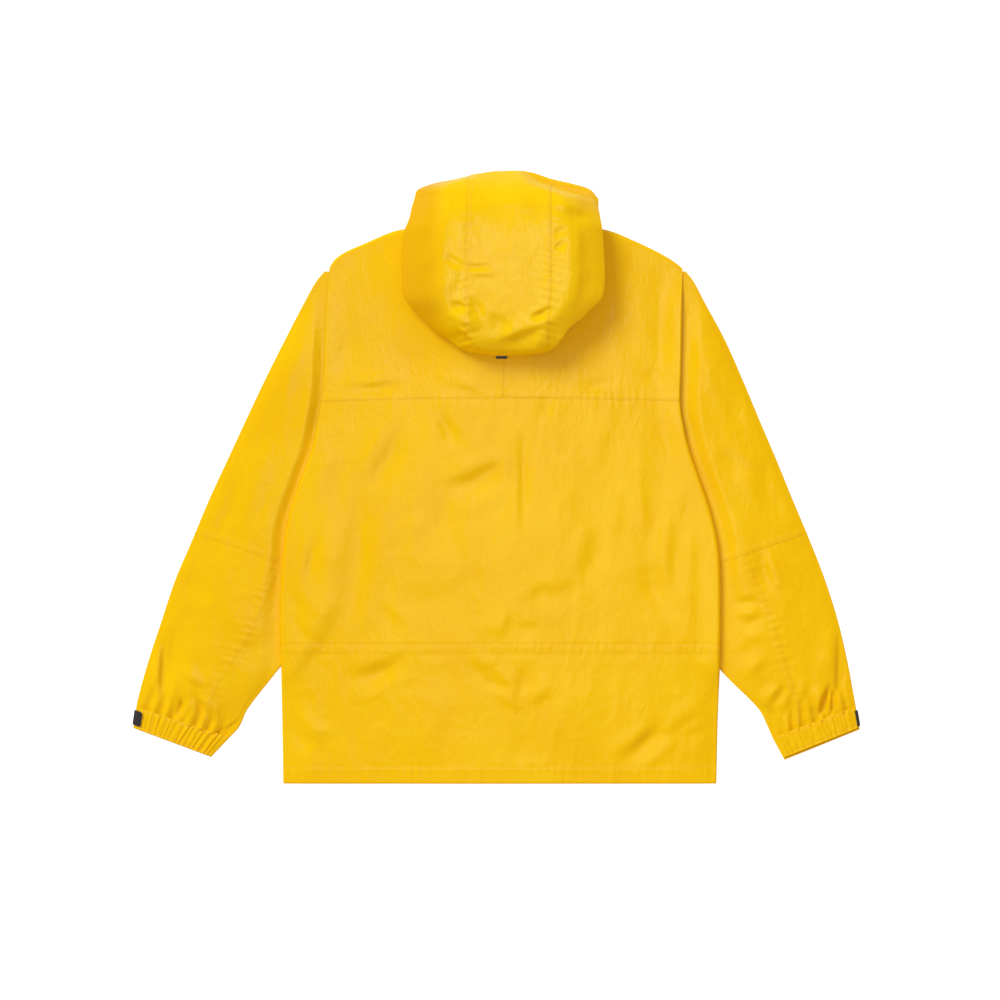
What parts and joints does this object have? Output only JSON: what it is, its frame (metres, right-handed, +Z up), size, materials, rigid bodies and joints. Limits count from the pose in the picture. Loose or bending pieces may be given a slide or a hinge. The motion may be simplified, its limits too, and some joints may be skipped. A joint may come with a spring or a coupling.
{
  "type": "mountain parka",
  "caption": "Hooded mountain parka in plain cloth, laid flat on its front with the back up, with gathered cuffs and the hood lying over the yoke.",
  "frame": {"origin": "middle of the surface that the parka covers, at the height of that surface", "axes": "+X to the right across the back, +Y from the hem towards the hood, +Z up off the surface"},
  "size_m": [0.9896, 0.8334, 0.0578],
  "materials": {
    "shell_cloth": "plain woven shell cloth, matte with a slight sheen",
    "black_trim": "matte black webbing and moulded trim",
    "snap": "satin snap caps"
  },
  "bodies": {
    "root": {"back_panel": "shell_cloth", "back_lower": "shell_cloth", "yoke_left": "shell_cloth", "yoke_right": "shell_cloth", "front_left": "shell_cloth", "front_right": "shell_cloth", "storm_flap": "shell_cloth", "snap_1": "snap", "snap_2": "snap", "snap_3": "snap", "snap_4": "snap", "snap_5": "snap", "snap_6": "snap", "sleeve_upper_left": "shell_cloth", "sleeve_lower_outer_left": "shell_cloth", "sleeve_lower_inner_left": "shell_cloth", "cuff_left": "shell_cloth", "cuff_tab_left": "black_trim", "sleeve_upper_right": "shell_cloth", "sleeve_lower_outer_right": "shell_cloth", "sleeve_lower_inner_right": "shell_cloth", "cuff_right": "shell_cloth", "cuff_tab_right": "black_trim", "hood_centre": "shell_cloth", "hood_left": "shell_cloth", "hood_right": "shell_cloth", "hood_folds": "shell_cloth", "hood_brim": "shell_cloth", "hood_tab": "black_trim"}
  },
  "joints": []
}
